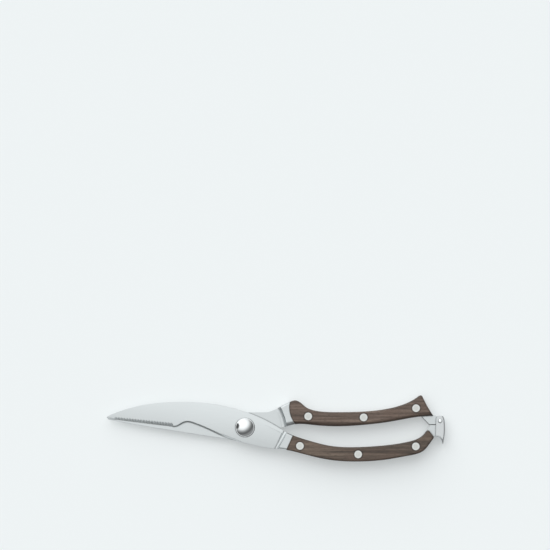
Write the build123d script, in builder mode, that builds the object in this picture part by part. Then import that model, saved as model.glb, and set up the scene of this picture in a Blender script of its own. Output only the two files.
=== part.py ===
"""Poultry shears, 250 mm long, lying flat with the tips towards -X and the handles towards +X.

The origin is the pivot axis on the plane that the shears rest on, and +Z is up. Two forged halves cross at
the pivot. The front half is the wide, serrated blade and the lower handle; the back half is the narrow
counter blade, the upper handle and the latch. The halves are drawn closed. A torsion spring round the pivot
barrel pushes them open, a stop pin in a curved groove limits the opening, and the latch on the upper
handle's tail hooks under the lower handle's nose to keep them shut.
"""

import os
from math import cos, hypot, pi, radians, sin

from build123d import *

# Heights above the resting plane
HANDLE_THICK = 12.0
MID = HANDLE_THICK / 2
TANG_THICK = 3.0
TANG_LOW, TANG_HIGH = MID - TANG_THICK / 2, MID + TANG_THICK / 2
BLADE_GAP = 0.1
FRONT_INNER, BACK_INNER = MID + BLADE_GAP / 2, MID - BLADE_GAP / 2
BLADE_THICK = 3.4
FRONT_FACE, BACK_FACE = FRONT_INNER + BLADE_THICK, BACK_INNER - BLADE_THICK
DEEPEST = 6.0

# Blades: each outer face is a slice of a very large cylinder, whose axis dips towards the tip
CROWN_RADIUS = 120.0
TIP_THICK = 1.7
TIP_X = -101.9
FRONT_RIDGE = (Vector(28, -6), Vector(-102, 14))
BACK_RIDGE = (Vector(28, -4), Vector(-102, 7))
EDGE_LAND, EDGE_SLOPE = 0.35, 0.55
SERRATED_LAND, SERRATED_SLOPE = 0.6, 1.05
FRONT_EDGE_TIP, FRONT_EDGE_ROOT = (-100.9, 6.5), (-53.6, 0.7)
BACK_EDGE_TIP, BACK_EDGE_ROOT = (-101.2, 7.3), (-16.5, 8.7)
NOTCH_BEVEL_WIDE = 1.2
FACET_START, FACET_END, FACET_TILT = (0, 9.4), (26, -3.6), 13.0

# Serrations on the front blade's edge
TEETH, TOOTH_PITCH, TOOTH_START, TOOTH_LEAD = 21, 2.05, 5.6, 1.2
TOOTH_RADIUS, TOOTH_DEEP = 0.7, 0.5
TOOTH_LEAN = 12.0

# Handles
EDGE_ROUND = 1.3
FRONT_COVE, BACK_COVE, UPPER_COVE, HIDDEN_COVE = 1.9, 1.8, 3.2, 1.1
INNER_ROUND = 2.8

# Pivot
SEAT_RADIUS, SEAT_DEEP = 7.3, 0.35
SCREW_HEAD_RADIUS, SCREW_RADIUS = 6.0, 2.0
SPANNER_HOLE_RADIUS, SPANNER_HOLE_OFFSET, SPANNER_HOLE_DEEP = 0.8, 3.9, 1.4
BARREL_RADIUS, BARREL_FLATS, RUNNING_CLEAR = 4.0, 7.0, 0.05
WASHER_RADIUS, WASHER_THICK = 6.95, 0.55
CAP_RADIUS, CAP_RIM, CAP_HIGH = 6.5, 0.6, 2.9

# Spring pocket and torsion spring
POCKET_RADIUS, POCKET_DEEP = 7.5, 2.0
WIRE_RADIUS = 0.45
COIL_RADIUS, COIL_TURNS, COIL_PITCH = 6.2, 2.5, 1.0
LEG_LONG, LEG_SLOT_WIDE = 7.0, 1.3

# Opening stop
OPEN_ANGLE = 28.0
STOP_ARM, STOP_START = 13.5, -20.0
STOP_RADIUS, STOP_CLEAR = 1.0, 0.12
STOP_HOLE_DEEP, STOP_GROOVE_DEEP, STOP_REACH = 2.4, 1.7, 1.4

# Rivets, three a handle
RIVET_HEAD, RIVET_HEAD_THICK = 2.95, 1.5
SLEEVE_RADIUS, POST_RADIUS = 2.0, 1.25
RIVET_CLEAR = 0.03
UPPER_RIVETS = {"upper_front": (46.7, 8.2), "upper_middle": (87.6, 7.4), "upper_rear": (126.3, 14.2)}
LOWER_RIVETS = {"lower_front": (40.6, -13.6), "lower_middle": (83.5, -19.8), "lower_rear": (126.0, -13.9)}

# Latch
PIN_X, PIN_Y = 144.2, 4.8
LATCH_THICK, LATCH_SLOT = 6.0, 3.4
PIN_RADIUS, PIN_HEAD, PIN_HEAD_THICK, PIN_HEAD_ROUND = 1.1, 1.6, 0.9, 0.8
FOOT_WIDE, FOOT_DEEP, WEB_ROUND, TAB_BEVEL = 0.8, 0.9, 1.3, 0.5
LUG_RADIUS = 2.2
WEB_INNER, WEB_START = 146.6, PIN_Y - 1.5
HOOK_TIP, HOOK_TOP = 145.5, -6.2
NOSE_END, NOSE_STEP, NOSE_TOP, NOSE_FOOT = 145.2, -6.0, 1.6, -7.0

UPRIGHT = (Align.CENTER, Align.CENTER, Align.MIN)

# Corners of the handles, before they are rounded
UPPER_CROTCH, UPPER_HEEL = (26.4, -0.8), (16.0, 11.3)
UPPER_HORN, UPPER_TIP = (130.3, 24.6), (139.0, 8.7)
LOWER_CROTCH, LOWER_HEEL = (28.4, -2.3), (19.0, -15.6)
LOWER_HORN, LOWER_CORNER = (134.8, -0.9), (139.7, -7.2)
HORN_ROUND = 1.5
UPPER_GROOVE = ((20.9, 17.6), (26.3, 6.9), (28.0, -2.0))
LOWER_GROOVE = ((30.9, -0.3), (25.55, -10.15), (20.2, -20))
LOWER_GROOVE_RISE = (-1.3, 0.0, -0.95)
PARTS = "parts"


def profile(height, outline, within=(), without=()):
    """A face at a height: an outline, kept to some sides of the plan and cut back from others."""
    with BuildSketch(Plane.XY.offset(height)) as sketch:
        with BuildLine():
            outline()
        make_face()
        for side in within:
            with BuildLine():
                side()
            make_face(mode=Mode.INTERSECT)
        for side in without:
            with BuildLine():
                side()
            make_face(mode=Mode.SUBTRACT)
    return sketch.sketch


def slab(low, high, outline, within=(), without=(), mode=Mode.ADD):
    """A profile extruded from one height to another."""
    extrude(profile(low, outline, within, without), amount=high - low, mode=mode)


def edges_at(builder, point, reach=1.0):
    """The upright edges at a point of the plan."""
    x, y = point
    upright = builder.edges().filter_by(Axis.Z)
    return [e for e in upright if hypot(e.center().X - x, e.center().Y - y) < reach]


def save(part, name):
    """Labels a finished piece and writes it."""
    part.label = name
    export_step(part, f"{PARTS}/{name}.step")


# ---------------------------------------------------------------- outlines


def upper_handle_inner_edge():
    """The upper handle's edge towards the fingers, from its tail to its crotch."""
    return Spline(
        UPPER_TIP, (124.6, 7.4), (108, 4.4), (90, 2.1), (70, 0.9), (52, 1.7), (37.2, 2.4), (31.4, 1.1),
        UPPER_CROTCH,
    )


def upper_handle_outline():
    """The upper handle from its heel to its crotch: a horn at each end and a hollow back."""
    Spline(
        UPPER_HEEL, (21.5, 12.9), (27, 15.9), (33.1, 18.9), (37.4, 20.0), (41.0, 18.4), (45.2, 14.9),
        (52, 12.4), (68, 11.3), (90, 11.9), (108, 14.4), (121, 18.6), UPPER_HORN,
    )
    Spline(UPPER_HORN, (134.6, 15.9), UPPER_TIP)
    upper_handle_inner_edge()


def lower_handle_outline():
    """The lower handle from its crotch to its heel: a long bow that turns up into a horn at the tail."""
    Spline(
        LOWER_CROTCH, (35.4, -5.7), (47, -9.6), (63.6, -13.6), (83, -14.5), (104.5, -13.1), (120, -10.7),
        (129.0, -7.6), (132.4, -4.9), LOWER_HORN,
    )
    Line(LOWER_HORN, LOWER_CORNER)
    Spline(
        LOWER_CORNER, (135.4, -13.2), (132.2, -16.8), (121, -20.7), (104.5, -23.6), (83, -25.1), (63, -23.9),
        (46, -20.3), (30.6, -16.5), LOWER_HEEL,
    )


def front_notch():
    """The bone notch in the front blade's edge, then the run down to the belly."""
    return Spline(
        FRONT_EDGE_ROOT, (-51.2, 0.5), (-48.8, 1.4), (-45.6, 3.2), (-42.2, 3.9), (-38.4, 3.0),
        (-25.5, -2.3), (-15.2, -7.0),
    )


def front_half_outline():
    """The wide front blade and the lower handle."""
    straight = Line(FRONT_EDGE_TIP, FRONT_EDGE_ROOT)
    notch = front_notch()
    spine = Spline(
        (-101.3, 8.5), (-84, 14.7), (-62, 18.3), (-43, 18.8), (-20, 16.8), (-2.3, 12.5), (14, 6.0),
        LOWER_CROTCH,
    )
    ThreePointArc(straight @ 0, (TIP_X, 7.4), spine @ 0)
    Spline(notch @ 1, (-4.5, -10.3), (8.5, -13.6), LOWER_HEEL)
    lower_handle_outline()


def back_half_outline():
    """The narrow counter blade with a round boss at the pivot, and the upper handle."""
    edge = Line(BACK_EDGE_TIP, BACK_EDGE_ROOT)
    spine = Spline((-100.7, 5.9), (-81.5, 2.2), (-52, -2.6), (-22, -7.2), (-9, -9.2))
    ThreePointArc(spine @ 0, (-101.5, 6.5), edge @ 0)
    boss = ThreePointArc(spine @ 1, (1.5, -10.2), (11.5, -7.6))
    Line(boss @ 1, UPPER_CROTCH)
    shoulder = Line(edge @ 1, (-13.5, 10.3))
    Spline(shoulder @ 1, (-4, 10.9), (8, 11.2), UPPER_HEEL)
    upper_handle_outline()


def beyond_upper_groove():
    """The side of the upper bolster's groove where the handle is."""
    groove = ThreePointArc(*UPPER_GROOVE)
    Polyline(groove @ 1, (28.0, -40), (200, -40), (200, 40), (20.9, 40), groove @ 0)


def beyond_upper_joint():
    """The side of the bowed joint between the upper bolster and its wood where the wood is."""
    joint = ThreePointArc((34.1, 22), (33.3, 10), (40.8, -1))
    Polyline(joint @ 1, (40.8, -40), (200, -40), (200, 40), (34.1, 40), joint @ 0)


def beyond_lower_groove():
    """The side of the lower bolster's groove where the handle is."""
    top, middle, bottom = LOWER_GROOVE
    Polyline(bottom, middle, top, (31.5, 0.8), (200, 0.8), (200, -40), (20.2, -40), close=True)


def beyond_lower_joint():
    """The side of the joint between the lower bolster and its wood where the wood is."""
    Polyline((37.6, -0.8), (28.8, -20.2), (28.8, -40), (200, -40), (200, -0.8), close=True)


def tab_outline():
    """The upper tang's tail: a plate below the wood that ends in the lug of the latch pin."""
    start = (128.5, 10.0)
    lug_low, lug_high = (PIN_X - 0.6, PIN_Y - 2.11), (PIN_X - 0.2, PIN_Y + LUG_RADIUS)
    Polyline(start, (131.0, 7.2), (136.1, 1.9), (141.2, 1.9), lug_low)
    ThreePointArc(lug_low, (PIN_X + LUG_RADIUS, PIN_Y), lug_high)
    Polyline(lug_high, (140.8, 8.8), (136.5, 8.8), start)


def nose_outline():
    """The lower tang's tail: a square nose, stepped up at its end for the latch's hook."""
    Polyline(
        (130.5, NOSE_FOOT), (134.2, -2.3), (137.1, NOSE_TOP), (NOSE_END, NOSE_TOP), (NOSE_END, NOSE_STEP),
        (143.7, NOSE_STEP), (143.7, NOSE_FOOT), close=True,
    )


def latch_back():
    """The latch's back, from its ears down to the tip of its thumb beak."""
    return Spline((146.4, 8.5), (147.35, 6.5), (147.9, 3.0), (147.95, -2.5), (147.4, -8.0), (146.5, -12.0))


def latch_foot():
    """The latch's foot, from the tip of its beak to the corner of its cheeks."""
    return Spline((146.05, -12.0), (145.35, -9.2), (143.6, -7.25), (140.9, -7.0))


def latch_outline():
    """The latch hanging shut: ears round the pin, a bowed back and a thumb beak."""
    ear = ThreePointArc((141.3, 5.2), (142.1, 7.9), (143.9, 8.7))
    back = latch_back()
    Line(ear @ 1, back @ 0)
    foot = latch_foot()
    ThreePointArc(back @ 1, (146.25, -12.2), foot @ 0)
    Line(foot @ 1, ear @ 0)


# ---------------------------------------------------------------- shared features


def crown(ridge, outward):
    """Keeps what lies under a crowned outer face; outward is 1 for the front blade, -1 for the back one."""
    start, end = ridge
    slope = (BLADE_THICK - TIP_THICK) / abs(TIP_X)
    at_pivot = FRONT_FACE if outward > 0 else BACK_FACE
    high = Vector(start.X, start.Y, at_pivot + outward * slope * start.X)
    low = Vector(end.X, end.Y, at_pivot + outward * slope * end.X)
    axis = (low - high).normalized()
    across = Vector(0, 0, 1).cross(axis).normalized()
    to_centre = axis.cross(across) * -outward * CROWN_RADIUS
    with Locations(Plane(origin=(low + high) / 2 + to_centre, z_dir=axis)):
        Cylinder(CROWN_RADIUS, 400, mode=Mode.INTERSECT)


def blade_slab(outline, groove, ridge, outward):
    """One blade as far as its bolster: the outline between the inner face and the crowned outer face."""
    low = FRONT_INNER if outward > 0 else BACK_FACE - 1
    high = FRONT_FACE + 1 if outward > 0 else BACK_INNER
    slab(low, high, outline, without=[groove])
    crown(ridge, outward)


def edge_plane(start, end, inner, outward, land=EDGE_LAND, slope=EDGE_SLOPE):
    """The plane of the bevel along a straight cutting edge, its normal away from the blade."""
    run = (end - start).normalized()
    side = run.cross(Vector(0, 0, 1)) * outward
    middle = (start + end) / 2
    origin = Vector(middle.X, middle.Y, inner + outward * land)
    return Plane(origin=origin, x_dir=run, z_dir=side + Vector(0, 0, outward) * slope)


def grind(plane, length, past_start, past_end):
    """Grinds away what is above the plane of a bevel that reaches past its edge's start and end."""
    against_end = (Align.MAX, Align.CENTER, Align.MIN)
    with Locations(plane):
        with Locations((length / 2 + past_end, 0, 0)):
            Box(past_start + length + past_end, 30, 10, align=against_end, mode=Mode.SUBTRACT)


def grind_edge(start, end, inner, outward):
    """Grinds the bevel along a straight cutting edge, past both its ends."""
    grind(edge_plane(start, end, inner, outward), (end - start).length, 2.5, 2.5)


def handle_block(outline, horns, inner_edge=None):
    """A whole handle at full thickness, its horns rounded in plan and then its long edges rounded.

    The edge towards the fingers is rounded more where it is given.
    """
    with BuildPart() as block:
        slab(0, HANDLE_THICK, outline)
        for point in horns:
            fillet(edges_at(block, point), HORN_ROUND)
        closure = block.faces().sort_by(Axis.X)[0]
        rims = [e for f in block.faces().filter_by(Axis.Z) for e in f.edges()]
        shank = [e for e in rims if (e.center() - closure.center()).length < HANDLE_THICK / 2 + 1]
        fillet([e for e in rims if e not in shank], EDGE_ROUND)
        if inner_edge:
            for height, outward in ((HANDLE_THICK, 1), (0, -1)):
                ease_edge(inner_edge, height, INNER_ROUND, INNER_ROUND, outward, rounded=True)
    return block.part


def forged_handle(handle, groove, joint):
    """The steel of a handle: its full-thickness bolster and its tang."""
    with BuildPart() as steel:
        slab(0, HANDLE_THICK, groove, without=[joint])
        slab(TANG_LOW, TANG_HIGH, joint)
        add(handle, mode=Mode.INTERSECT)
    return steel.part


def section_plane(path, outward):
    """An upright plane across the start of a path: x to the right of it as seen from outward, y outward."""
    across = (path % 0).cross(Vector(0, 0, outward)).normalized()
    return Plane(origin=path @ 0, x_dir=across, z_dir=across.cross(Vector(0, 0, outward)))


def cove(path, radius, outward):
    """Hollows the step between a blade's face and its bolster; the path is the bottom of the hollow."""
    with BuildSketch(section_plane(path, outward)) as section:
        with Locations((0, radius)):
            Circle(radius)
        with Locations((0, radius + DEEPEST)):
            Rectangle(2 * radius, 2 * DEEPEST)
    sweep(section.sketch, path=path, mode=Mode.SUBTRACT)


def ease_edge(curve, height, wide, deep, outward, rounded=False):
    """Bevels or rounds the long edge that a curve of the plan makes with the face at a height."""
    with BuildLine() as line:
        curve()
    path = line.wires()[0]
    top = outward * height
    low, high = (0, top - deep), (outward * wide, top)
    bulge = 1 - sin(pi / 4)
    with BuildSketch(section_plane(path, outward)) as section:
        with BuildLine():
            if rounded:
                ThreePointArc(low, (outward * wide * bulge, top - deep * bulge), high)
            else:
                Line(low, high)
            Polyline(high, (outward * wide, top + 1), (-outward, top + 1), (-outward, top - deep), low)
        make_face()
    sweep(section.sketch, path=path, mode=Mode.SUBTRACT)


def drill(points, radius, low, high):
    """Upright holes."""
    with Locations(*[(x, y, low) for x, y in points]):
        Cylinder(radius, high - low, align=UPRIGHT, mode=Mode.SUBTRACT)


def leg_slot(low, high, y):
    """The slot that holds one leg of the spring, open to the spring's pocket."""
    with Locations((LEG_LONG / 2 + 0.4, y, (low + high) / 2)):
        Box(LEG_LONG + 0.8, LEG_SLOT_WIDE, high - low, mode=Mode.SUBTRACT)


def upper_handle_face():
    """The upper handle's outline, closed across the shank."""
    upper_handle_outline()
    Line(UPPER_CROTCH, UPPER_HEEL)


def lower_handle_face():
    """The lower handle's outline, closed across the shank."""
    lower_handle_outline()
    Line(LOWER_HEEL, LOWER_CROTCH)


# ---------------------------------------------------------------- the two halves

os.makedirs(PARTS, exist_ok=True)
SEAT_HIGH, SEAT_LOW = FRONT_FACE - SEAT_DEEP, BACK_FACE + SEAT_DEEP
POCKET_HIGH, POCKET_LOW = FRONT_INNER + POCKET_DEEP, BACK_INNER - POCKET_DEEP
UPPER_HANDLE = handle_block(upper_handle_face, [UPPER_HORN], upper_handle_inner_edge)
LOWER_HANDLE = handle_block(lower_handle_face, [LOWER_HORN, LOWER_CORNER])
UPPER_STEEL = forged_handle(UPPER_HANDLE, beyond_upper_groove, beyond_upper_joint)
LOWER_STEEL = forged_handle(LOWER_HANDLE, beyond_lower_groove, beyond_lower_joint)

with BuildPart() as front_steel:
    blade_slab(front_half_outline, beyond_lower_groove, FRONT_RIDGE, 1)

    # The cutting edge: a bevel swept round the notch, run out along the belly, and a flat one to the tip
    with BuildLine() as notch_line:
        front_notch()
    notch = notch_line.wires()[0]
    land = FRONT_INNER + EDGE_LAND
    with BuildSketch(section_plane(notch, 1)) as section:
        with BuildLine():
            Polyline((0, land), (-NOTCH_BEVEL_WIDE, land + 3), (1, land + 3), (1, land), close=True)
        make_face()
    sweep(section.sketch, path=notch, mode=Mode.SUBTRACT)
    grind_edge(notch @ 1, notch @ 1 + notch % 1 * 10, FRONT_INNER, 1)

    # A narrow bevel from the tip, then a wide one with the serrations running down it, leaning a little
    tip, root = Vector(*FRONT_EDGE_TIP), Vector(*FRONT_EDGE_ROOT)
    grind(edge_plane(tip, root, FRONT_INNER, 1), (root - tip).length, 2.5, 0)
    bevel = edge_plane(tip, root, FRONT_INNER, 1, SERRATED_LAND, SERRATED_SLOPE)
    grind(bevel, (root - tip).length, TOOTH_LEAD - TOOTH_START, 0)
    half = (root - tip).length / 2
    teeth = [TOOTH_START + i * TOOTH_PITCH - half for i in range(TEETH)]
    lift = TOOTH_RADIUS - TOOTH_DEEP
    with Locations(bevel):
        with Locations(*[Location((x, 0, lift), (90, 0, TOOTH_LEAN)) for x in teeth]):
            Cylinder(TOOTH_RADIUS, 9, mode=Mode.SUBTRACT)

    # The ground facet along the shank's spine
    facet_start, facet_end = Vector(*FACET_START), Vector(*FACET_END)
    along = (facet_end - facet_start).normalized()
    across = Vector(0, 0, 1).cross(along)
    tilted = across * sin(radians(FACET_TILT)) + Vector(0, 0, 1) * cos(radians(FACET_TILT))
    middle = (facet_start + facet_end) / 2
    with Locations(Plane(origin=(middle.X, middle.Y, FRONT_FACE + 0.05), x_dir=along, z_dir=tilted)):
        Box(44, 30, 5, align=(Align.CENTER, Align.MIN, Align.MIN), mode=Mode.SUBTRACT)

with BuildPart() as front_blade:
    add(LOWER_STEEL)
    add(front_steel.part)
    slab(TANG_LOW, TANG_HIGH, nose_outline)
    bowed = [(x, y, FRONT_FACE + rise) for (x, y), rise in zip(LOWER_GROOVE, LOWER_GROOVE_RISE)]
    cove(Edge.make_three_point_arc(*bowed), FRONT_COVE, 1)
    top, middle, bottom = LOWER_GROOVE
    cove(Edge.make_line((*top, FRONT_INNER + 0.1), (*bottom, FRONT_INNER + 0.1)), BACK_COVE, -1)

    # Pivot: bore, washer seat, spring pocket, leg slot and stop groove
    drill([(0, 0)], SEAT_RADIUS, SEAT_HIGH, HANDLE_THICK)
    drill([(0, 0)], POCKET_RADIUS, 0, POCKET_HIGH)
    drill([(0, 0)], BARREL_RADIUS + RUNNING_CLEAR, 0, HANDLE_THICK)
    leg_slot(FRONT_INNER, POCKET_HIGH, -COIL_RADIUS)
    with BuildSketch(Plane.XY.offset(FRONT_INNER)):
        SlotArc(CenterArc((0, 0), STOP_ARM, STOP_START, OPEN_ANGLE), 2 * (STOP_RADIUS + STOP_CLEAR))
    extrude(amount=STOP_GROOVE_DEEP, mode=Mode.SUBTRACT)

    # Rivet holes
    drill(LOWER_RIVETS.values(), SLEEVE_RADIUS + RIVET_CLEAR, 0, HANDLE_THICK)

with BuildPart() as back_steel:
    blade_slab(back_half_outline, beyond_upper_groove, BACK_RIDGE, -1)
    grind_edge(Vector(*BACK_EDGE_TIP), Vector(*BACK_EDGE_ROOT), BACK_INNER, -1)

with BuildPart() as tab:
    slab(TANG_LOW, TANG_HIGH, tab_outline)
    rims = [e for f in tab.faces().filter_by(Axis.Z) for e in f.edges()]
    chamfer([e for e in rims if e.center().Y < 5 and e.center().X < 139], TAB_BEVEL, TAB_BEVEL)

with BuildPart() as back_blade:
    add(UPPER_STEEL)
    add(back_steel.part)
    add(tab.part)
    for depth, radius, outward in ((BACK_INNER - 0.1, UPPER_COVE, 1), (BACK_FACE - 0.2, HIDDEN_COVE, -1)):
        cove(Edge.make_three_point_arc(*[(x, y, depth) for x, y in UPPER_GROOVE]), radius, outward)

    # Pivot: screw seat, spring pocket, leg slot, keyed hole and the stop pin's hole
    drill([(0, 0)], SEAT_RADIUS, 0, SEAT_LOW)
    drill([(0, 0)], POCKET_RADIUS, POCKET_LOW, HANDLE_THICK)
    leg_slot(POCKET_LOW, BACK_INNER, COIL_RADIUS)
    with BuildSketch(Plane.XY):
        Circle(BARREL_RADIUS + RIVET_CLEAR)
        Rectangle(20, BARREL_FLATS + 2 * RIVET_CLEAR, mode=Mode.INTERSECT)
    extrude(amount=HANDLE_THICK, mode=Mode.SUBTRACT)
    stop_angle = radians(STOP_START)
    stop_point = (STOP_ARM * cos(stop_angle), STOP_ARM * sin(stop_angle))
    drill([stop_point], STOP_RADIUS, BACK_INNER - STOP_HOLE_DEEP, BACK_INNER)

    # Rivet holes and the latch pin's hole
    drill(UPPER_RIVETS.values(), SLEEVE_RADIUS + RIVET_CLEAR, 0, HANDLE_THICK)
    drill([(PIN_X, PIN_Y)], PIN_RADIUS, 0, HANDLE_THICK)
save(front_blade.part, "front_blade")
save(back_blade.part, "back_blade")

# ---------------------------------------------------------------- wood

for name, handle, joint, rivets in (
    ("upper", UPPER_HANDLE, beyond_upper_joint, UPPER_RIVETS),
    ("lower", LOWER_HANDLE, beyond_lower_joint, LOWER_RIVETS),
):
    for where, low, high, head_low in (
        ("front", TANG_HIGH, HANDLE_THICK, HANDLE_THICK - RIVET_HEAD_THICK),
        ("back", 0, TANG_LOW, 0),
    ):
        with BuildPart() as scale:
            add(handle)
            slab(low, high, joint, mode=Mode.INTERSECT)
            drill(rivets.values(), SLEEVE_RADIUS + RIVET_CLEAR, low, high)
            drill(rivets.values(), RIVET_HEAD + RIVET_CLEAR, head_low, head_low + RIVET_HEAD_THICK)
        save(scale.part, f"{name}_scale_{where}")

# ---------------------------------------------------------------- rivets

HEAD_LOW = HANDLE_THICK - RIVET_HEAD_THICK
for name, (x, y) in {**UPPER_RIVETS, **LOWER_RIVETS}.items():
    with BuildPart() as sleeve:
        with Locations((x, y, HEAD_LOW)):
            Cylinder(RIVET_HEAD, RIVET_HEAD_THICK, align=UPRIGHT)
        with Locations((x, y, RIVET_HEAD_THICK + 0.1)):
            Cylinder(SLEEVE_RADIUS, HEAD_LOW - RIVET_HEAD_THICK - 0.1, align=UPRIGHT)
            Cylinder(POST_RADIUS, HEAD_LOW - RIVET_HEAD_THICK - 0.2, align=UPRIGHT, mode=Mode.SUBTRACT)
        chamfer(sleeve.edges().group_by(Axis.Z)[-1], 0.1)
    save(sleeve.part, f"rivet_sleeve_{name}")
    with BuildPart() as post:
        with Locations((x, y, 0)):
            Cylinder(RIVET_HEAD, RIVET_HEAD_THICK, align=UPRIGHT)
            Cylinder(POST_RADIUS, HEAD_LOW - 0.3, align=UPRIGHT)
        chamfer(post.edges().group_by(Axis.Z)[0], 0.1)
    save(post.part, f"rivet_post_{name}")

# ---------------------------------------------------------------- pivot

WASHER_LOW = SEAT_HIGH + RUNNING_CLEAR
CAP_LOW = WASHER_LOW + WASHER_THICK

with BuildPart() as pivot_screw:
    Cylinder(SCREW_HEAD_RADIUS, SEAT_LOW, align=UPRIGHT)
    chamfer(pivot_screw.edges().group_by(Axis.Z)[0], 0.5)
    Cylinder(SCREW_RADIUS, CAP_LOW - 0.6, align=UPRIGHT)
    with Locations((SPANNER_HOLE_OFFSET, 0, 0), (-SPANNER_HOLE_OFFSET, 0, 0)):
        Cylinder(SPANNER_HOLE_RADIUS, SPANNER_HOLE_DEEP, align=UPRIGHT, mode=Mode.SUBTRACT)
save(pivot_screw.part, "pivot_screw")

with BuildPart() as pivot_washer:
    with Locations((0, 0, WASHER_LOW)):
        Cylinder(WASHER_RADIUS, WASHER_THICK, align=UPRIGHT)
        Cylinder(BARREL_RADIUS + RIVET_CLEAR, WASHER_THICK, align=UPRIGHT, mode=Mode.SUBTRACT)
    rim = pivot_washer.edges().group_by(Axis.Z)[-1].sort_by(SortBy.LENGTH)[-1]
    fillet(rim, 0.3)
save(pivot_washer.part, "pivot_washer")

dome_high = CAP_HIGH - CAP_RIM
dome_radius = (CAP_RADIUS**2 + dome_high**2) / (2 * dome_high)
barrel_low = SEAT_LOW + 0.1
with BuildPart() as pivot_cap:
    with Locations((0, 0, CAP_LOW)):
        Cylinder(CAP_RADIUS, CAP_HIGH, align=UPRIGHT)
    with Locations((0, 0, CAP_LOW + CAP_HIGH - dome_radius)):
        Sphere(dome_radius, mode=Mode.INTERSECT)
    with Locations((0, 0, barrel_low)):
        Cylinder(BARREL_RADIUS, CAP_LOW - barrel_low, align=UPRIGHT)
        Cylinder(SCREW_RADIUS, CAP_LOW - barrel_low - 0.4, align=UPRIGHT, mode=Mode.SUBTRACT)
    for way in (1, -1):
        with Locations((0, way * (BARREL_FLATS / 2 + 1), barrel_low)):
            Box(12, 2, POCKET_LOW - barrel_low, align=UPRIGHT, mode=Mode.SUBTRACT)
save(pivot_cap.part, "pivot_cap")

rise = COIL_TURNS * COIL_PITCH
with BuildPart() as opening_spring:
    with BuildLine(Plane.XY.offset(MID - rise / 2)) as wire:
        coil = Helix(COIL_PITCH, rise, COIL_RADIUS)
        Line(coil @ 0 - coil % 0 * LEG_LONG, coil @ 0)
        Line(coil @ 1, coil @ 1 + coil % 1 * LEG_LONG)
    path = wire.wires()[0]
    with BuildSketch(Plane(origin=path @ 0, z_dir=path % 0)):
        Circle(WIRE_RADIUS)
    sweep(path=path)
save(Rot(0, 0, 90) * opening_spring.part, "opening_spring")

with BuildPart() as stop_pin:
    with Locations((*stop_point, BACK_INNER - STOP_HOLE_DEEP)):
        Cylinder(STOP_RADIUS, FRONT_INNER + STOP_REACH - BACK_INNER + STOP_HOLE_DEEP, align=UPRIGHT)
    chamfer(stop_pin.edges().group_by(Axis.Z)[-1], 0.2)
save(stop_pin.part, "stop_pin")

# ---------------------------------------------------------------- latch

LATCH_LOW, LATCH_HIGH = MID - LATCH_THICK / 2, MID + LATCH_THICK / 2
SLOT_LOW, SLOT_HIGH = MID - LATCH_SLOT / 2, MID + LATCH_SLOT / 2


def latch_slot():
    """The open middle of the latch: round the pin, left of its web and above its hook."""
    Polyline(
        (130, 20), (160, 20), (160, WEB_START), (WEB_INNER, WEB_START), (WEB_INNER, HOOK_TOP),
        (HOOK_TIP, HOOK_TOP), (HOOK_TIP, -20), (130, -20), close=True,
    )


with BuildPart() as latch:
    slab(LATCH_LOW, LATCH_HIGH, latch_outline)
    for height, outward in ((LATCH_HIGH, 1), (LATCH_LOW, -1)):
        ease_edge(latch_foot, height, FOOT_WIDE, FOOT_DEEP, outward)
        ease_edge(latch_back, height, WEB_ROUND, WEB_ROUND, outward, rounded=True)
    slab(SLOT_LOW, SLOT_HIGH, latch_slot, mode=Mode.SUBTRACT)
    drill([(PIN_X, PIN_Y)], PIN_RADIUS + RUNNING_CLEAR, 0, HANDLE_THICK)
save(latch.part, "latch")

with BuildPart() as latch_pin:
    for low, high, radius in (
        (LATCH_LOW - RUNNING_CLEAR - PIN_HEAD_THICK, LATCH_LOW - RUNNING_CLEAR, PIN_HEAD),
        (LATCH_LOW - RUNNING_CLEAR, LATCH_HIGH + RUNNING_CLEAR, PIN_RADIUS),
        (LATCH_HIGH + RUNNING_CLEAR, LATCH_HIGH + RUNNING_CLEAR + PIN_HEAD_THICK, PIN_HEAD),
    ):
        with Locations((PIN_X, PIN_Y, low)):
            Cylinder(radius, high - low, align=UPRIGHT)
    fillet(latch_pin.edges().group_by(Axis.Z)[-1] + latch_pin.edges().group_by(Axis.Z)[0], PIN_HEAD_ROUND)
save(latch_pin.part, "latch_pin")
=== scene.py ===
"""Poultry shears: steel blades, wood scales, rivets, pivot, spring and latch, on a pale floor."""

import math

import bpy
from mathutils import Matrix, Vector

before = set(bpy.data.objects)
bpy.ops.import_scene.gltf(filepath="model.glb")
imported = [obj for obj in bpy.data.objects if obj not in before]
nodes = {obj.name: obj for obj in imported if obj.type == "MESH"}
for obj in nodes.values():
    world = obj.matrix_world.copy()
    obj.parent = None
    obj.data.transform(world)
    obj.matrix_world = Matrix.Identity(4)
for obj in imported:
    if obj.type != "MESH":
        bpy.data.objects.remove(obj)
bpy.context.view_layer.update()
MM = 0.001


def linear(r, g, b):
    """sRGB from 11 to 255, above the curve's straight part, to scene-linear."""
    return tuple(((c / 255 + 0.055) / 1.055) ** 2.4 for c in (r, g, b))


# ---------------------------------------------------------------- colours, scene-linear

STEEL = (0.66, 0.685, 0.69)
LATCH_STEEL = (0.66, 0.675, 0.68)
SPRING_STEEL = (0.5, 0.51, 0.53)
BRIGHT_STEEL = (0.86, 0.875, 0.88)
# Dark colour of the painted shade in the steel's corners and hollows
STEEL_PAINTED_SHADE = (0.05, 0.05, 0.052)

RIVET_DULL = (0.62, 0.62, 0.60)
RIVET_MID = (0.76, 0.77, 0.75)
RIVET_CLEAN = (0.84, 0.85, 0.83)
RIVET_MIDDLE_TONE = (0.9, 0.895, 0.88)
RIVET_RING_TONE = (1.0, 1.0, 1.0)
RIVET_OUTLINE = (0.2, 0.19, 0.18)

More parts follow.
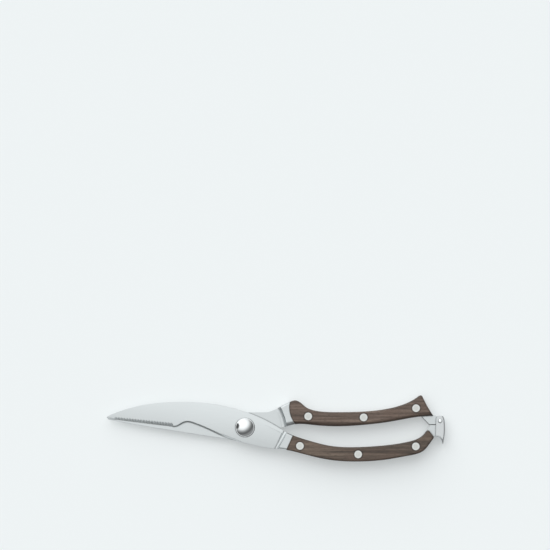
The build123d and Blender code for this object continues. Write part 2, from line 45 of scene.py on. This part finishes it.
WOOD_DARK = linear(64, 53, 46)
WOOD_MID = linear(92, 78, 69)
WOOD_LIGHT = linear(111, 95, 85)
WOOD_PALE = linear(131, 114, 101)
WOOD_WARM = linear(100, 81, 70)
# Colour of the pores, and also of the painted shade on the wood's sides
WOOD_PORE_AND_SHADE = linear(46, 38, 33)
# Colour of the painted shade along the wood's sharp edges and joints
WOOD_EDGE_SHADE = linear(26, 22, 20)
UPPER_TONE = (1.0, 1.0, 1.0)
LOWER_TONE = (0.86, 0.88, 0.85)

# ---------------------------------------------------------------- grain

# Noise cells in a metre, along X, Y and Z or the same all ways
STEEL_CLOUDS = 38.0
POLISH_SCUFFS = (900, 5200, 1800)
RIVET_SCRATCHES = (260, 9000, 3000)
RIVET_PITS = 2600.0
GRAIN_WANDER = (14, 40, 40)
GROWTH_BANDS = (16, 620, 420)
WOOD_FIBRES = (120, 4200, 3200)
WOOD_PORES = (330, 5600, 4200)
WOOD_PATCHES = (55, 130, 130)

# Noise cells across the width of a round piece
POLISH_RINGS = 60.0
RIVET_RINGS = 34.0

# Ground lines and the hair between them: cells along, across and up, as shares of the lines' number across
GROUND_LINES = (0.012, 1, 0.3)
GROUND_HAIR = (0.03, 3.1, 1)

# Ground finishes: the lines' turn about Z, the distance between them, the roughness and the edges' rounding
BLADE_FINISH = (math.radians(78), 0.16 * MM, (0.3, 0.42), 0.4 * MM)
LATCH_FINISH = (math.radians(10), 0.12 * MM, (0.26, 0.38), 0.15 * MM)
SPRING_FINISH = (0.0, 0.1 * MM, (0.22, 0.35), 0.05 * MM)

# The other surfaces' least and most roughness
POLISH_ROUGH, RIVET_ROUGH, WOOD_ROUGH = (0.06, 0.13), (0.34, 0.5), (0.46, 0.6)

# Depths of the relief, and how far an edge's rounding or the painted shade in hollows and along edges and
# joints reaches
POLISH_RELIEF, GROUND_RELIEF, RIVET_RELIEF, WOOD_RELIEF = 0.002 * MM, 0.004 * MM, 0.006 * MM, 0.05 * MM
POLISH_EDGE, RIVET_EDGE, WOOD_EDGE = 0.12 * MM, 0.2 * MM, 0.35 * MM
HOLLOW_SHADE_REACH, EDGE_SHADE_REACH = 1.6 * MM, 2.0 * MM
GRAIN_WANDER_REACH = (0, 2.2 * MM, 1.5 * MM)

# The scales, each cut from another place in the same wood
SCALES = ["upper_scale_front", "upper_scale_back", "lower_scale_front", "lower_scale_back"]
GRAIN_START, GRAIN_STEP = 0.4, 1.7

# How much of a darker colour shows where it is strongest; the shares for hollows, sides and edges set
# painted shade
HOLLOW_SHADE_SHARE, OUTLINE_SHARE, PORE_SHARE, SIDE_SHADE_SHARE, EDGE_SHADE_SHARE = 0.85, 0.75, 0.75, 0.5, 0.62

# ---------------------------------------------------------------- node helpers


class Nodes:
    """Short calls that add a tree's nodes and join them."""

    def __init__(self, tree):
        self.tree = tree

    def node(self, kind, settings=None, **inputs):
        """Adds a node; inputs are values or other nodes' outputs, by socket name or number (_0, _1...)."""
        made = self.tree.nodes.new("ShaderNode" + kind)
        for key, value in (settings or {}).items():
            setattr(made, key, value)
        for key, value in inputs.items():
            index = int(key[1:]) if key[0] == "_" else key.replace("_", " ")
            if isinstance(value, bpy.types.NodeSocket):
                self.tree.links.new(value, made.inputs[index])
            else:
                made.inputs[index].default_value = value
        return made

    def math(self, operation, a, b):
        return self.node("Math", {"operation": operation}, _0=a, _1=b).outputs[0]

    def times(self, value, share):
        return self.math("MULTIPLY", value, share)

    def blend(self, share, a, b):
        """That share of a and the rest of b."""
        return self.math("ADD", self.times(a, share), self.times(b, 1 - share))

    def remap(self, value, low, high, to_low=0.0, to_high=1.0):
        """Maps low..high to to_low..to_high, clamped. Most of a noise lies between 0.3 and 0.7."""
        made = self.node("MapRange", Value=value)
        for index, number in enumerate((low, high, to_low, to_high), 1):
            made.inputs[index].default_value = number
        return made.outputs[0]


class Shader(Nodes):
    """One procedural material: its surface, and the patterns that feed it."""

    def __init__(self, name, **fixed):
        self.material = bpy.data.materials.new(name)
        self.material.use_nodes = True
        super().__init__(self.material.node_tree)
        self.surface = self.tree.nodes["Principled BSDF"]
        for socket, value in fixed.items():
            self.surface.inputs[socket.replace("_", " ")].default_value = value

    def place(self):
        """A point's place in the row frame, which moves with its piece."""
        return self.node("TexCoord").outputs["Object"]

    def from_middle(self):
        """How far a point is from the upright line through its piece's middle: about 0.5 at a round rim."""
        box = self.node("TexCoord").outputs["Generated"]
        centred = self.mapped(box, (1, 1, 0), shift=(-0.5, -0.5, 0))
        return self.node("VectorMath", {"operation": "LENGTH"}, _0=centred).outputs["Value"]

    def mapped(self, vector, scale, turn=(0, 0, 0), shift=(0, 0, 0)):
        return self.node("Mapping", Vector=vector, Scale=scale, Rotation=turn, Location=shift).outputs[0]

    def noise(self, vector, scale=1.0, detail=3.0, rough=0.5, distortion=0.0):
        shape = {"Detail": detail, "Roughness": rough, "Distortion": distortion}
        return self.node("TexNoise", Vector=vector, Scale=scale, **shape).outputs[0]

    def rings(self, away, scale, detail):
        """Noise that changes only with the distance from the middle."""
        return self.noise(self.node("CombineXYZ", X=away).outputs[0], scale, detail, 0.6)

    def mix(self, share, a, b, blend="MIX"):
        made = self.node("Mix", {"data_type": "RGBA", "blend_type": blend}, _0=share)
        for index, value in ((6, a), (7, b)):
            if isinstance(value, bpy.types.NodeSocket):
                self.tree.links.new(value, made.inputs[index])
            else:
                made.inputs[index].default_value = (*value, 1)
        return made.outputs[2]

    def tinted(self, colour, tone):
        return self.mix(1.0, colour, tone, "MULTIPLY")

    def ramp(self, value, *stops):
        """A colour ramp through (position, (r, g, b)) stops."""
        made = self.node("ValToRGB", Fac=value)
        elements = made.color_ramp.elements
        while len(elements) < len(stops):
            elements.new(0.5)
        for element, (position, colour) in zip(elements, stops):
            element.position = position
            element.color = (*colour, 1)
        return made.outputs[0]

    def bump(self, height, strength, distance, normal):
        made = self.node("Bump", Height=height, Strength=strength, Distance=distance, Normal=normal)
        return made.outputs[0]

    def rounded(self, radius):
        """A normal that rounds sharp edges a little, as tumbling or polishing does."""
        return self.node("Bevel", {"samples": 6}, Radius=radius).outputs[0]

    def hollow_shade(self, reach):
        """Mask for painted shade: 0 in the open and 1 deep in a corner or under a ledge, looking reach
        metres round.
        """
        open_share = self.node("AmbientOcclusion", {"samples": 8}, Distance=reach).outputs["AO"]
        return self.remap(open_share, 0.82, 0.35)

    def near_edge(self, radius):
        """1 beside a sharp edge and 0 from radius metres away."""
        true = self.node("NewGeometry").outputs["Normal"]
        dot = self.node("VectorMath", {"operation": "DOT_PRODUCT"}, _0=self.rounded(radius), _1=true)
        return self.remap(dot.outputs["Value"], 0.9995, 0.95)

    def to(self, **sockets):
        """Joins the finished patterns to the surface, by socket name."""
        for socket, value in sockets.items():
            self.tree.links.new(value, self.surface.inputs[socket.replace("_", " ")])
        return self.material


# ---------------------------------------------------------------- materials


def satin_steel(name, tint, finish):
    """Ground steel: fine lines at a set angle, soft cloudy patches, rounded edges and painted shade that
    darkens corners.
    """
    line_turn, line_pitch, rough, round_edge = finish
    s = Shader(name, Metallic=1.0, IOR=2.5)
    place = s.place()

    def ground(shares, detail, roughness):
        scale = tuple(share / line_pitch for share in shares)
        return s.noise(s.mapped(place, scale, (0, 0, line_turn)), detail=detail, rough=roughness)

    marks = s.blend(0.7, ground(GROUND_LINES, 4.0, 0.65), ground(GROUND_HAIR, 2.0, 0.6))
    cloud = s.noise(place, STEEL_CLOUDS, 3.0, 0.55)
    dull, clean = tuple(c * 0.93 for c in tint), tuple(c * 1.05 for c in tint)
    worn = s.mix(s.remap(marks, 0.35, 0.65), dull, tint)
    clear = s.mix(s.remap(cloud, 0.35, 0.7, 0.0, 0.35), worn, clean)
    return s.to(
        # Painted shade: the base colour darkens in corners and hollows, where less light reaches
        Base_Color=s.mix(s.times(s.hollow_shade(HOLLOW_SHADE_REACH), HOLLOW_SHADE_SHARE), clear, STEEL_PAINTED_SHADE),
        Roughness=s.remap(s.blend(0.6, marks, cloud), 0.35, 0.65, *rough),
        Normal=s.bump(marks, 0.35, GROUND_RELIEF, s.rounded(round_edge)),
    )


def polished_steel(name, tint):
    """Bright turned steel: faint rings about the piece's own middle and a few fine scuffs."""
    s = Shader(name, Metallic=1.0, IOR=2.5)
    scuffs = s.noise(s.mapped(s.place(), POLISH_SCUFFS, (0.2, 0.3, 0.7)), rough=0.7)
    marks = s.blend(0.6, s.rings(s.from_middle(), POLISH_RINGS, 3.0), scuffs)
    dull = tuple(c * 0.95 for c in tint)
    return s.to(
        Base_Color=s.mix(s.remap(marks, 0.4, 0.62), dull, tint),
        Roughness=s.remap(marks, 0.38, 0.62, *POLISH_ROUGH),
        Normal=s.bump(marks, 0.2, POLISH_RELIEF, s.rounded(POLISH_EDGE)),
    )


def rivet_metal(name):
    """Soft pale rivets, ground flush: fine scratches, a greyer middle, a bright ring and a dark outline."""
    s = Shader(name, Metallic=1.0, IOR=1.5)
    place = s.place()
    away = s.from_middle()
    scratches = s.noise(s.mapped(place, RIVET_SCRATCHES, (0, 0, 0.35)), detail=4.0, rough=0.7)
    marks = s.blend(0.6, scratches, s.rings(away, RIVET_RINGS, 2.0))
    worn = s.blend(0.7, marks, s.noise(place, RIVET_PITS, 2.0))
    metal = s.ramp(worn, (0.32, RIVET_DULL), (0.5, RIVET_MID), (0.68, RIVET_CLEAN))
    ring = s.mix(s.remap(away, 0.22, 0.38), RIVET_MIDDLE_TONE, RIVET_RING_TONE)
    outline = s.times(s.remap(away, 0.45, 0.49), OUTLINE_SHARE)
    return s.to(
        Base_Color=s.mix(outline, s.tinted(metal, ring), RIVET_OUTLINE),
        Roughness=s.remap(marks, 0.35, 0.65, *RIVET_ROUGH),
        Normal=s.bump(marks, 0.3, RIVET_RELIEF, s.rounded(RIVET_EDGE)),
    )


def wood(name, seed, tone):
    """Dense grey-brown wood: long growth bands, fine fibres, short dark pores and an oiled sheen, with
    painted shade darkening its sides, edges and joints.
    """
    s = Shader(name, Specular_IOR_Level=0.42, Coat_Weight=0.06, Coat_Roughness=0.35)
    place = s.place()
    wander = s.noise(s.mapped(place, GRAIN_WANDER, shift=(seed, 0, 0)), detail=2.0)
    bend = s.node("VectorMath", {"operation": "MULTIPLY_ADD"}, _0=wander, _1=GRAIN_WANDER_REACH, _2=place)
    along = bend.outputs[0]
    bands = s.noise(s.mapped(along, GROWTH_BANDS, shift=(seed * 3.1, seed, 0)), 1.0, 4.0, 0.6, 0.4)
    fibre = s.noise(s.mapped(along, WOOD_FIBRES, shift=(seed, seed, seed)), rough=0.65)
    pore = s.remap(s.noise(s.mapped(along, WOOD_PORES, shift=(0, seed * 2, seed)), detail=2.0), 0.58, 0.66)
    patch = s.noise(s.mapped(place, WOOD_PATCHES, shift=(seed, 3, seed)), detail=2.0)
    grain = s.ramp(
        s.blend(0.7, bands, fibre),
        (0.38, WOOD_DARK), (0.47, WOOD_MID), (0.56, WOOD_LIGHT), (0.65, WOOD_PALE),
    )
    warm = s.mix(s.remap(patch, 0.42, 0.7, 0.0, 0.5), s.tinted(grain, tone), WOOD_WARM)
    porous = s.mix(s.times(pore, PORE_SHARE), warm, WOOD_PORE_AND_SHADE)
    # Painted shade: faces tilting away from straight up, the rounded edges and sides, darken towards the
    # pore colour
    upright = s.node("SeparateXYZ", _0=s.node("TexCoord").outputs["Normal"]).outputs["Z"]
    side_shaded = s.mix(s.times(s.remap(upright, 0.985, 0.6), SIDE_SHADE_SHARE), porous, WOOD_PORE_AND_SHADE)
    height = s.math("SUBTRACT", s.times(fibre, 0.4), pore)
    return s.to(
        # Painted shade: the wood darkens within a couple of millimetres of its sharp edges and joints
        Base_Color=s.mix(s.times(s.near_edge(EDGE_SHADE_REACH), EDGE_SHADE_SHARE), side_shaded, WOOD_EDGE_SHADE),
        Roughness=s.remap(bands, 0.35, 0.65, *WOOD_ROUGH),
        Normal=s.bump(height, 0.35, WOOD_RELIEF, s.rounded(WOOD_EDGE)),
    )


def dress(names, material):
    """Gives CAD nodes one material."""
    for name in names:
        mesh = nodes[name].data
        mesh.materials.clear()
        mesh.materials.append(material)


blade_steel = satin_steel("blade_satin_steel", STEEL, BLADE_FINISH)
latch_steel = satin_steel("latch_satin_steel", LATCH_STEEL, LATCH_FINISH)
spring_steel = satin_steel("spring_drawn_steel", SPRING_STEEL, SPRING_FINISH)
bright_steel = polished_steel("polished_steel", BRIGHT_STEEL)

dress(["front_blade", "back_blade"], blade_steel)
dress(["latch"], latch_steel)
dress(["opening_spring"], spring_steel)
dress(["pivot_cap", "pivot_washer", "pivot_screw", "stop_pin", "latch_pin"], bright_steel)
dress([name for name in nodes if name.startswith("rivet_")], rivet_metal("rivet_metal"))
for index, scale in enumerate(SCALES):
    tone = UPPER_TONE if "upper" in scale else LOWER_TONE
    dress([scale], wood(f"wood_{scale}", GRAIN_STEP * index + GRAIN_START, tone))

# ---------------------------------------------------------------- floor, light and camera

FLOOR_COLOUR = (0.510, 0.531, 0.535)
FLOOR_GLOW = (0.325, 0.336, 0.338)
FLOOR_PATCHES, PATCH_SHADE = 3.0, 0.995
FLOOR_HALF, FLOOR_DROP = 4.0, 0.02 * MM

# The dome's brightness: (how nearly a direction faces the bright side, level)
SKY_LEVELS = (
    (0.0, 0.3), (0.3, 0.3), (0.44, 0.26), (0.54, 0.14), (0.66, 0.28),
    (0.76, 0.62), (0.84, 1.0), (0.9, 1.18), (1.0, 1.5),
)
SKY_TOP = 2.0
SKY_TINT = (0.97, 0.995, 1.0)
BRIGHT_SIDE = (-0.35, 0.55, 0.76)
DARK_CORNER, CORNER_EDGE, CORNER_FADE, CORNER_SHARE = (-0.92, 0.17, 0.36), 0.92, 0.6, 0.08

WINDOW_SIDE, WINDOW_STRENGTH, WINDOW_SPREAD = (-0.25, 1.0, 0.7), 1.9, math.radians(80)

CAMERA_HEIGHT, CAMERA_TIP = 2.0, math.radians(3.233)
CAMERA_OVER, BLADES_HIGH = 22.2 * MM, 6 * MM
LENS, SENSOR = 176.7, 36.0
NEAREST, FURTHEST = 0.1, 20.0


def make_floor():
    """Pale paper just under the shears, partly lit from inside so that shadows on it stay soft."""
    mesh = bpy.data.meshes.new("floor")
    corners = [(x * FLOOR_HALF, y * FLOOR_HALF, 0) for x, y in ((-1, -1), (1, -1), (1, 1), (-1, 1))]
    mesh.from_pydata(corners, [], [(0, 1, 2, 3)])
    floor = bpy.data.objects.new("floor", mesh)
    floor.location.z = -FLOOR_DROP
    bpy.context.scene.collection.objects.link(floor)
    glow = {"Emission_Color": (*FLOOR_GLOW, 1), "Emission_Strength": 1.0}
    s = Shader("floor_paper", Roughness=0.95, Specular_IOR_Level=0.0, **glow)
    darker = tuple(c * PATCH_SHADE for c in FLOOR_COLOUR)
    patches = s.noise(s.place(), FLOOR_PATCHES, 2.0)
    mesh.materials.append(s.to(Base_Color=s.mix(patches, FLOOR_COLOUR, darker)))


def make_world():
    """A studio dome: bright over the window side, dim on the other side, with one dark corner."""
    world = bpy.data.worlds.new("studio")
    bpy.context.scene.world = world
    world.use_nodes = True
    dome = Nodes(world.node_tree)
    direction = dome.node("TexCoord").outputs["Generated"]

    def facing(side, low):
        """How nearly a direction points to a side: 0 at low or less, 1 straight at it."""
        toward = Vector(side).normalized()
        dot = dome.node("VectorMath", {"operation": "DOT_PRODUCT"}, _0=direction, _1=toward)
        return dome.remap(dot.outputs["Value"], low, 1.0)

    sky = dome.node("FloatCurve", Value=facing(BRIGHT_SIDE, -1.0))
    curve = sky.mapping.curves[0]
    for point, (position, level) in zip(curve.points, (SKY_LEVELS[0], SKY_LEVELS[-1])):
        point.location = (position, level / SKY_TOP)
    for position, level in SKY_LEVELS[1:-1]:
        curve.points.new(position, level / SKY_TOP)
    sky.mapping.update()
    in_corner = facing(DARK_CORNER, CORNER_EDGE)
    corner = dome.remap(in_corner, 0.0, CORNER_FADE, SKY_TOP, SKY_TOP * CORNER_SHARE)
    background = dome.tree.nodes["Background"]
    background.inputs["Color"].default_value = (*SKY_TINT, 1)
    dome.tree.links.new(dome.times(sky.outputs[0], corner), background.inputs["Strength"])


def make_window():
    """A large soft light, far away, which lights the floor and the wood but isn't mirrored in the steel."""
    light = bpy.data.lights.new("window", "SUN")
    light.energy = WINDOW_STRENGTH
    light.angle = WINDOW_SPREAD
    window = bpy.data.objects.new("window", light)
    window.rotation_mode = "QUATERNION"
    window.rotation_quaternion = (-Vector(WINDOW_SIDE)).to_track_quat("-Z", "Y")
    window.visible_glossy = False
    bpy.context.scene.collection.objects.link(window)


def make_camera():
    """A long lens above the shears, tipped a little so that they lie low in the picture."""
    lens = bpy.data.cameras.new("camera")
    lens.lens = LENS
    lens.sensor_width = SENSOR
    lens.clip_start = NEAREST
    lens.clip_end = FURTHEST
    camera = bpy.data.objects.new("camera", lens)
    camera.location = (CAMERA_OVER, 0.0, CAMERA_HEIGHT + BLADES_HIGH)
    camera.rotation_euler = (CAMERA_TIP, 0, 0)
    bpy.context.scene.collection.objects.link(camera)
    bpy.context.scene.camera = camera


make_floor()
make_world()
make_window()
make_camera()
bpy.context.scene.view_settings.view_transform = "Standard"
